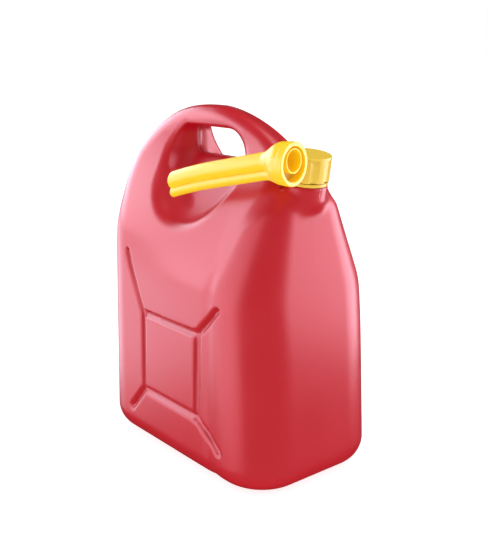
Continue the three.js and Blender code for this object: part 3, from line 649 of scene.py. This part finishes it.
def drop_outline(inset, count=120):
    """Round above and pointed below: the hull of two circles on the vertical, drawn in by the inset."""
    big, small = MOUTH_RADIUS - inset, max(MOUTH_POINT - inset, 0.8)
    span = MOUTH_HEIGHT - MOUTH_RADIUS - MOUTH_POINT
    lean = math.asin((big - small) / span)
    upper = np.linspace(-lean, math.pi + lean, count * 2 // 3)
    lower = np.linspace(math.pi + lean, 2 * math.pi - lean, count // 3 + 1)[1:-1]
    top = np.stack([big * np.cos(upper), big * np.sin(upper)], -1)
    bottom = np.stack([small * np.cos(lower), small * np.sin(lower) - span], -1)
    shift = TUBE_RISE + MOUTH_HEIGHT / 2 - MOUTH_RADIUS
    return np.vstack([top, bottom]) + (0, shift)


def carried(outline_points, places, scales=None):
    """A closed outline in (side, height) carried along t, drawn in to its mean by the scales."""
    middle = outline_points.mean(0)
    rows = []
    for k, t in enumerate(places):
        scale = 1 if scales is None else scales[k]
        ring = middle + (outline_points - middle) * scale
        rows.append(np.column_stack([np.full(len(ring), t), ring]))
    return np.array(rows)


def closed(name, rows, matrix):
    """A tube closed at both ends, with its faces pointing outwards."""
    vertices, faces = skin(placed(rows, matrix), start_pole=True, end_pole=True)
    thing = make_object(name, vertices, faces)
    mesh = thing.data
    points = np.array([v.co for v in mesh.vertices])
    volume = 0.0
    for face in mesh.polygons:
        a = points[face.vertices[0]]
        for k in range(1, len(face.vertices) - 1):
            volume += np.dot(a, np.cross(points[face.vertices[k]], points[face.vertices[k + 1]]))
    if volume < 0:
        mesh.flip_normals()
    return thing


def cut(target, cutter):
    """Takes the cutter out of the target by a boolean, keeps the result as its mesh and drops the cutter."""
    modifier = target.modifiers.new("cut", "BOOLEAN")
    modifier.operation = "DIFFERENCE"
    modifier.solver = "MANIFOLD"
    modifier.object = cutter
    graph = bpy.context.evaluated_depsgraph_get()
    mesh = bpy.data.meshes.new_from_object(target.evaluated_get(graph))
    target.modifiers.clear()
    old = target.data
    target.data = mesh
    mesh.name = old.name
    bpy.data.meshes.remove(old)
    bpy.data.objects.remove(cutter)


def circle(radius, count, centre=(0, 0)):
    """A circle in (side, height)."""
    angle = np.linspace(0, 2 * math.pi, count, endpoint=False)
    return np.stack([centre[0] + radius * np.cos(angle), centre[1] + radius * np.sin(angle)], -1)


def passage(centre, radius):
    """A bore that follows the tube's middle line from the mouth to past the tip."""
    places = np.linspace(-MOUTH_DEPTH + 3, -SPOUT_LENGTH - 3, 40)
    rings = [circle(radius, 48, (0, tube_centre(t) + centre)) for t in places]
    rows = np.array([np.column_stack([np.full(48, t), ring]) for t, ring in zip(places, rings)])
    return closed("passage", rows, spout_frame)


def make_spout():
    """The skin less the channel, the drop-shaped mouth and the two bores."""
    vertices, faces = spout_skin()
    spout = make_object("spout_moulding", vertices, faces)
    soft = 0.5
    turn = np.linspace(0, math.pi / 2, 5)
    depth = np.concatenate([[2.0], -soft * np.sin(turn), [-SOCKET_DEPTH + 0.6, -SOCKET_DEPTH]])
    edge = 1 + soft / SOCKET_BORE * (1 - np.sin(turn))
    widths = np.concatenate([[1 + LIP / SOCKET_BORE], edge, [1, 0.97]])
    channel = closed("channel", carried(circle(SOCKET_BORE, 128), depth, widths), spout_frame)
    drop_rows = carried(drop_outline(0), [-SOCKET_DEPTH - 1, -0.9, -0.5, -0.35], [1, 1, 0.98, 0.93])
    drop = closed("drop", drop_rows, spout_frame)
    cut(channel, drop)
    cut(spout, channel)
    mouth_rows = carried(drop_outline(PASSAGE_WALL), [2, -0.4, -0.9, -MOUTH_DEPTH], [1.06, 1.05, 1, 1])
    mouth = closed("mouth", mouth_rows, spout_frame)
    cut(spout, mouth)
    cut(spout, passage(FLOW_CENTRE, FLOW_RADIUS - PASSAGE_WALL))
    cut(spout, passage(VENT_CENTRE, VENT_RADIUS - PASSAGE_WALL))
    spout.data.shade_smooth()
    spout.data.set_sharp_from_angle(angle=math.radians(32))
    return spout


spout = make_spout()
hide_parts("spout")
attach(spout, "spout")
print("spout:", len(spout.data.polygons), "faces")

# %% [markdown]
# ## Hanger
# The ring turns on the neck under the cap and carries a small rail with an open slot. A T-shaped rail
# on the spout slides into it. Each is a section carried along a line, with a bevel on its edges.

# %% Ring, hanger and the spout's rail
RAIL_PLACE, RAIL_LENGTH, RAIL_WIDTH = 39.0, 18.0, 5.0
RAIL_HEAD, RAIL_HEAD_DEPTH, RAIL_ROOT, RAIL_REACH = 10.0, 2.0, 9, 23.4
RUN_GAP, HANGER_LIP, HANGER_WALL, HANGER_RIM = 0.4, 1.6, 2.4, 2.6
RING_BORE, RING_RADIUS = 19.4, 25.6
ARM_WIDTH, ARM_THICKNESS, ARM_GAP, ARM_START, ARM_BEND, ARM_OVERLAP = 10.0, 3.2, 0.3, 23.5, 1.7, 1.5


def bar(name, outline_points, start, end, matrix, bevel=0.4):
    """A closed outline in (side, height) carried from start to end along t, with bevelled edges."""
    outline_points = np.asarray(outline_points, float)
    count = len(outline_points)
    rows = placed(carried(outline_points, [start, end]), matrix).reshape(-1, 3)
    faces = [[k, (k + 1) % count, count + (k + 1) % count, count + k] for k in range(count)]
    faces += [list(range(count))[::-1], list(range(count, 2 * count))]
    thing = make_object(name, rows, faces, 30)
    modifier = thing.modifiers.new("bevel", "BEVEL")
    modifier.width = bevel * MM
    modifier.segments = 3
    modifier.limit_method = "ANGLE"
    return thing


rail_z = float(tube_centre(-RAIL_PLACE))
neck_part = RAIL_REACH - RAIL_HEAD_DEPTH
half_web, half_head = RAIL_WIDTH / 2, RAIL_HEAD / 2
rail_outline = [(RAIL_ROOT, -half_web), (neck_part, -half_web)]
rail_outline += [(neck_part, -half_head), (RAIL_REACH, -half_head)]
rail_outline += [(RAIL_REACH, half_head), (neck_part, half_head)]
rail_outline += [(neck_part, half_web), (RAIL_ROOT, half_web)]
rail_outline = np.array(rail_outline) + (0, rail_z)
rail_start, rail_end = -RAIL_PLACE - RAIL_LENGTH / 2, -RAIL_PLACE + RAIL_LENGTH / 2
rail = bar("spout_rail", rail_outline, rail_start, rail_end, spout_frame)
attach(rail, "spout")

slot_back, slot_front = RAIL_REACH + RUN_GAP, RAIL_REACH - RAIL_HEAD_DEPTH - RUN_GAP
front, back = slot_front - HANGER_LIP, slot_back + HANGER_WALL
slot_half, gate = RAIL_HEAD / 2 + RUN_GAP, RAIL_WIDTH / 2 + RUN_GAP
high = slot_half + HANGER_RIM
hanger_outline = [(front, -high), (back, -high), (back, high), (front, high)]
hanger_outline += [(front, gate), (slot_front, gate), (slot_front, slot_half), (slot_back, slot_half)]
hanger_outline += [(slot_back, -slot_half), (slot_front, -slot_half), (slot_front, -gate), (front, -gate)]
hanger_start = rail_start - RUN_GAP
hanger = bar("hanger", np.array(hanger_outline) + (0, rail_z), hanger_start, rail_end, spout_frame)
stop_outline = np.array([(front, -high), (back, -high), (back, high), (front, high)]) + (0, rail_z)
stop = bar("hanger_stop", stop_outline, hanger_start - HANGER_WALL, hanger_start + 0.01, spout_frame)


def make_arm():
    """The strap from the ring: a rounded section carried out over the shoulder and up to the hanger."""
    foot = np.array([rail_end - ARM_WIDTH / 2, slot_back, rail_z - high, 1.0])
    foot = np.linalg.inv(neck_frame) @ (spout_frame @ foot)
    middle = -foot[1] - ARM_GAP - ARM_THICKNESS / 2
    level = (RING_FOOT + RING_TOP) / 2
    corners = [(-ARM_START, level), (-middle, level), (-middle, foot[2] + ARM_OVERLAP)]
    path = dense(rounded_profile(corners, [ARM_BEND], 8), 1.0)
    along = np.gradient(path, axis=0)
    along /= np.linalg.norm(along, axis=1, keepdims=True)
    normal = np.stack([-along[:, 1], along[:, 0]], -1)
    angle = np.linspace(0, 2 * math.pi, 40, endpoint=False)
    wide = ARM_WIDTH / 2 * np.sign(np.cos(angle)) * np.abs(np.cos(angle)) ** 0.25
    thick = ARM_THICKNESS / 2 * np.sign(np.sin(angle)) * np.abs(np.sin(angle)) ** 0.25
    x = foot[0] + np.broadcast_to(wide, (len(path), 40))
    y = path[:, :1] + normal[:, :1] * thick
    z = path[:, 1:] + normal[:, 1:] * thick
    vertices, faces = skin(placed(np.stack([x, y, z], -1), neck_frame), start_pole=True, end_pole=True)
    return make_object("hanger_arm", vertices, faces)


ring = washer("swivel_ring", RING_BORE, RING_RADIUS, RING_FOOT, RING_TOP, neck_frame)
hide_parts("retaining_ring")
arm = make_arm()
for thing in (ring, arm, hanger, stop):
    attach(thing, "ring")


def make_spout_washer():
    """A flat ring between the socket's wall and the drop-shaped tube."""
    outer, inner = circle(SOCKET_BORE - 0.3, 120), drop_outline(-0.3)
    start, end = -SOCKET_DEPTH + 0.3, -SOCKET_DEPTH + 2.3
    body = closed("spout_washer", carried(outer, [start, end]), spout_frame)
    cut(body, closed("hole", carried(inner, [start - 1, end + 1]), spout_frame))
    body.data.shade_smooth()
    body.data.set_sharp_from_angle(angle=math.radians(32))
    return body


spout_washer = make_spout_washer()
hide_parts("spout_gasket")
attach(spout_washer, "spout")

# %% [markdown]
# ## Plastics
# Polyethylene is a little milky: light enters it and comes out nearby, and its skin is satin, with a
# fine grain from the mould. One node group makes that grain as a height, and each plastic sets how
# strong it is. Every plastic also wanders slightly in colour and gloss. A second group is the line
# where the two halves of the tank's mould met: it runs along the middle plane, stands out in the hand
# hole and on the handle, and is nearly flat below them.

# %% Grain and parting line
BROAD_SCALE, GRAIN_BUMP, GLOSS_SPREAD = 14, 0.0004, 0.04
SEAM_OFFSET, SEAM_CREST, SEAM_FOOT, SEAM_BUMP = 0.0016, 0.0003, 0.0014, 0.0015
SEAM_FADE_LOW, SEAM_FADE_HIGH, SEAM_FAINT = 0.35, 0.375, 0.02


def new_group(name, inputs, outputs):
    """An empty node group with these float sockets."""
    group = bpy.data.node_groups.new(name, "ShaderNodeTree")
    for in_out, sockets in (("INPUT", inputs), ("OUTPUT", outputs)):
        for socket in sockets:
            group.interface.new_socket(name=socket, in_out=in_out, socket_type="NodeSocketFloat")
    return group


def calculated(tree, operation, *values):
    """The result of a Math node whose values are sockets or numbers."""
    node = tree.nodes.new("ShaderNodeMath")
    node.operation = operation
    for place, value in zip(node.inputs, values):
        if isinstance(value, float):
            place.default_value = value
        else:
            tree.links.new(value, place)
    return node.outputs[0]


def mapped(tree, value, before, after, kind="LINEAR"):
    """The result of a Map Range node that carries the range before to the range after."""
    node = tree.nodes.new("ShaderNodeMapRange")
    node.interpolation_type = kind
    for name, number in zip(("From Min", "From Max", "To Min", "To Max"), (*before, *after)):
        node.inputs[name].default_value = number
    tree.links.new(value, node.inputs["Value"])
    return node.outputs["Result"]


def grain_group():
    """Height and mottle from two noises on Object coordinates: fine grain and broad waviness."""
    group = new_group("moulded_grain", ("Scale", "Waviness"), ("Height", "Mottle"))
    nodes, links = group.nodes, group.links
    start, end = nodes.new("NodeGroupInput"), nodes.new("NodeGroupOutput")
    place = nodes.new("ShaderNodeTexCoord")
    fine, broad = nodes.new("ShaderNodeTexNoise"), nodes.new("ShaderNodeTexNoise")
    fine.inputs["Detail"].default_value = 3
    broad.inputs["Scale"].default_value = BROAD_SCALE
    broad.inputs["Detail"].default_value = 2
    links.new(place.outputs["Object"], fine.inputs["Vector"])
    links.new(place.outputs["Object"], broad.inputs["Vector"])
    links.new(start.outputs["Scale"], fine.inputs["Scale"])
    mottle = broad.outputs["Fac"]
    total = calculated(group, "MULTIPLY_ADD", mottle, start.outputs["Waviness"], fine.outputs["Fac"])
    links.new(total, end.inputs["Height"])
    links.new(mottle, end.inputs["Mottle"])
    return group


def seam_group():
    """Height of the mould's parting line: two low ridges at a small distance from the middle plane, from
    Object y, which fade to almost nothing below a height, from Object z."""
    group = new_group("parting_line", (), ("Height",))
    end = group.nodes.new("NodeGroupOutput")
    place, split = group.nodes.new("ShaderNodeTexCoord"), group.nodes.new("ShaderNodeSeparateXYZ")
    group.links.new(place.outputs["Object"], split.inputs[0])
    away = calculated(group, "SUBTRACT", calculated(group, "ABSOLUTE", split.outputs["Y"]), SEAM_OFFSET)
    off = calculated(group, "ABSOLUTE", away)
    ridge = mapped(group, off, (SEAM_CREST, SEAM_FOOT), (1, 0), "SMOOTHSTEP")
    fade = mapped(group, split.outputs["Z"], (SEAM_FADE_LOW, SEAM_FADE_HIGH), (SEAM_FAINT, 1))
    group.links.new(calculated(group, "MULTIPLY", ridge, fade), end.inputs["Height"])
    return group


grain = grain_group()
seam = seam_group()


def plastic(name, dark, light, roughness, scale, waviness, bump, subsurface, radius):
    """A moulded plastic: two shades mixed by the mottle, a satin gloss and the grain as a bump."""
    material = bpy.data.materials.new(name)
    material.use_nodes = True
    nodes, links = material.node_tree.nodes, material.node_tree.links
    shader = nodes["Principled BSDF"]
    pattern = nodes.new("ShaderNodeGroup")
    pattern.node_tree = grain
    pattern.inputs["Scale"].default_value = scale
    pattern.inputs["Waviness"].default_value = waviness
    colour = nodes.new("ShaderNodeMix")
    colour.data_type = "RGBA"
    colour.inputs["A"].default_value = (*dark, 1)
    colour.inputs["B"].default_value = (*light, 1)
    links.new(pattern.outputs["Mottle"], colour.inputs["Factor"])
    links.new(colour.outputs["Result"], shader.inputs["Base Color"])
    spread = (roughness - GLOSS_SPREAD, roughness + GLOSS_SPREAD)
    gloss = mapped(material.node_tree, pattern.outputs["Mottle"], (0, 1), spread)
    links.new(gloss, shader.inputs["Roughness"])
    height = nodes.new("ShaderNodeBump")
    height.inputs["Strength"].default_value = bump
    height.inputs["Distance"].default_value = GRAIN_BUMP
    links.new(pattern.outputs["Height"], height.inputs["Height"])
    links.new(height.outputs["Normal"], shader.inputs["Normal"])
    shader.inputs["Subsurface Weight"].default_value = subsurface
    shader.inputs["Subsurface Radius"].default_value = radius
    shader.inputs["Subsurface Scale"].default_value = 0.004
    return material


def translucent_with_painted_glow(material, scale, painted_glow, strength):
    """Lets the light travel further inside the plastic, in metres, and adds a faint even emission: painted
    light that stands in for light coming through thin walls and brightens the shaded hollows inside."""
    shader = material.node_tree.nodes["Principled BSDF"]
    shader.inputs["Subsurface Scale"].default_value = scale
    # The emission is painted light: the plastic glows evenly, though it is no lamp.
    shader.inputs["Emission Color"].default_value = (*painted_glow, 1)
    shader.inputs["Emission Strength"].default_value = strength


def with_seam(material, strength):
    """Adds the parting line's bump on top of the grain."""
    nodes, links = material.node_tree.nodes, material.node_tree.links
    line = nodes.new("ShaderNodeGroup")
    line.node_tree = seam
    ridge = nodes.new("ShaderNodeBump")
    ridge.inputs["Strength"].default_value = strength
    ridge.inputs["Distance"].default_value = SEAM_BUMP
    links.new(line.outputs["Height"], ridge.inputs["Height"])
    links.new(nodes["Bump"].outputs["Normal"], ridge.inputs["Normal"])
    links.new(ridge.outputs["Normal"], nodes["Principled BSDF"].inputs["Normal"])


red = plastic("red_polyethylene", (0.50, 0.002, 0.009), (0.55, 0.002, 0.013), roughness=0.34,
              scale=900, waviness=1.5, bump=0.10, subsurface=0.0, radius=(1.0, 0.15, 0.1))
with_seam(red, 0.9)
yellow = plastic("yellow_polyethylene", (0.84, 0.54, 0.006), (0.87, 0.59, 0.01), roughness=0.33,
                 scale=1200, waviness=1.0, bump=0.06, subsurface=0.45, radius=(1.0, 0.6, 0.1))
# The yellow's emission is painted light, an orange glow that brightens the spout's shaded mouth and
# passages.
translucent_with_painted_glow(yellow, 0.012, (1.0, 0.54, 0.01), 0.15)
olive = plastic("pale_yellow_polyethylene", (0.78, 0.51, 0.035), (0.84, 0.56, 0.05), roughness=0.36,
                scale=1200, waviness=1.0, bump=0.06, subsurface=0.1, radius=(1.0, 0.7, 0.25))
rubber = plastic("black_rubber", (0.02, 0.02, 0.02), (0.03, 0.03, 0.03), roughness=0.7,
                 scale=1500, waviness=1.0, bump=0.2, subsurface=0.0, radius=(1.0, 1.0, 1.0))
washer_plastic = plastic("washer_plastic", (0.72, 0.42, 0.02), (0.78, 0.48, 0.03), roughness=0.5,
                         scale=1200, waviness=1.0, bump=0.05, subsurface=0.2, radius=(1.0, 0.6, 0.15))


def finish_with(material, slot, *things):
    """Gives the pieces a material. The slot is not used."""
    for thing in things:
        thing.data.materials.clear()
        thing.data.materials.append(material)


finish_with(red, "red_plastic", tank, neck)
finish_with(yellow, "yellow_plastic", spout, rail)
finish_with(olive, "yellow_plastic", cap, ring, arm, hanger, stop)
finish_with(rubber, "black_rubber", cap_washer)
finish_with(washer_plastic, "washer_plastic", spout_washer)

# %% [markdown]
# ## Studio
# The photograph is a cut-out on white with broad soft light. An even white room and one soft box above
# light the surfaces. Six upright cards round the can show only in its gloss: those on the left give
# the broad side its pale sheen and its soft bands, and those on the right do so for the neck end.

# %% Floor, lights and world
FLOOR_RADIUS, FLOOR_DROP = 9000, 0.4
CARD_TINT = (1.0, 0.93, 1.1)
# Each card's name, azimuth in degrees, distance, width, lower and upper edge in metres, and radiance
CARDS = [
    ("left_card", 205, 1.3, 1.5, -0.42, 0.3, 3.2),
    ("left_high_card", 196, 1.3, 1.6, 0.35, 1.25, 6.2),
    ("near_card", 254, 1.3, 1.1, -0.5, 1.0, 4.0),
    ("corner_card", 283, 1.3, 0.3, -0.45, 0.9, 3.5),
    ("front_card", 32, 1.2, 0.5, -0.02, 1.2, 3.0),
    ("right_card", 62, 1.2, 0.8, -0.16, 1.2, 7.0),
]


def area_light(name, place, target, size, power, colour=(1, 1, 1)):
    """A rectangular soft box at a place in metres, turned to face its target."""
    data = bpy.data.lights.new(name, "AREA")
    data.shape = "RECTANGLE"
    data.size, data.size_y = size
    data.energy = power
    data.color = colour
    light = bpy.data.objects.new(name, data)
    light.location = place
    light.rotation_euler = (Vector(target) - Vector(place)).to_track_quat("-Z", "Y").to_euler()
    bpy.context.scene.collection.objects.link(light)
    return light


def make_floor():
    """A pale round floor far wider than the view, a little below the can and left out of its gloss."""
    count = 96
    angle = np.linspace(0, 2 * math.pi, count, endpoint=False)
    rim = [FLOOR_RADIUS * np.cos(angle), FLOOR_RADIUS * np.sin(angle), np.full(count, -FLOOR_DROP)]
    thing = make_object("floor", np.stack(rim, -1), [list(range(count))])
    material = bpy.data.materials.new("pale_floor")
    material.use_nodes = True
    shader = material.node_tree.nodes["Principled BSDF"]
    shader.inputs["Base Color"].default_value = (0.5, 0.5, 0.5, 1)
    shader.inputs["Roughness"].default_value = 0.9
    shader.inputs["Emission Color"].default_value = (1, 1, 1, 1)
    shader.inputs["Emission Strength"].default_value = 0.8
    thing.data.materials.append(material)
    thing.visible_glossy = False


def card(name, azimuth, distance, width, low, high, radiance):
    """An upright white card round the can, seen only in its gloss. The power follows from the wanted
    radiance: pi times the card's area times the radiance."""
    angle = math.radians(azimuth)
    height = (low + high) / 2
    place = (distance * math.cos(angle), distance * math.sin(angle), height)
    power = math.pi * width * (high - low) * radiance
    light = area_light(name, place, (0, 0, height), (width, high - low), power, CARD_TINT)
    light.visible_diffuse = False


make_floor()
area_light("key_soft_box", (0.2, 0.3, 2.2), (0, 0, 0.25), (1.0, 1.0), 13)
for row in CARDS:
    card(*row)


def studio_world():
    """A white room: plain white to the camera, an even light on the surfaces, and a dark studio where
    the surfaces mirror it, so that only the soft box and the cards give them their sheen."""
    world = bpy.data.worlds.new("studio")
    world.use_nodes = True
    nodes, links = world.node_tree.nodes, world.node_tree.links
    background = nodes["Background"]
    path = nodes.new("ShaderNodeLightPath")
    mirrored = nodes.new("ShaderNodeMix")
    mirrored.inputs["A"].default_value = 0.9
    mirrored.inputs["B"].default_value = 0.02
    links.new(path.outputs["Is Glossy Ray"], mirrored.inputs["Factor"])
    seen = nodes.new("ShaderNodeMix")
    seen.inputs["B"].default_value = 1.0
    links.new(path.outputs["Is Camera Ray"], seen.inputs["Factor"])
    links.new(mirrored.outputs["Result"], seen.inputs["A"])
    links.new(seen.outputs["Result"], background.inputs["Strength"])
    background.inputs["Color"].default_value = (1, 1, 1, 1)
    bpy.context.scene.world = world


studio_world()
bpy.context.scene.view_settings.view_transform = "Standard"

# %% The end
bpy.context.view_layer.update()
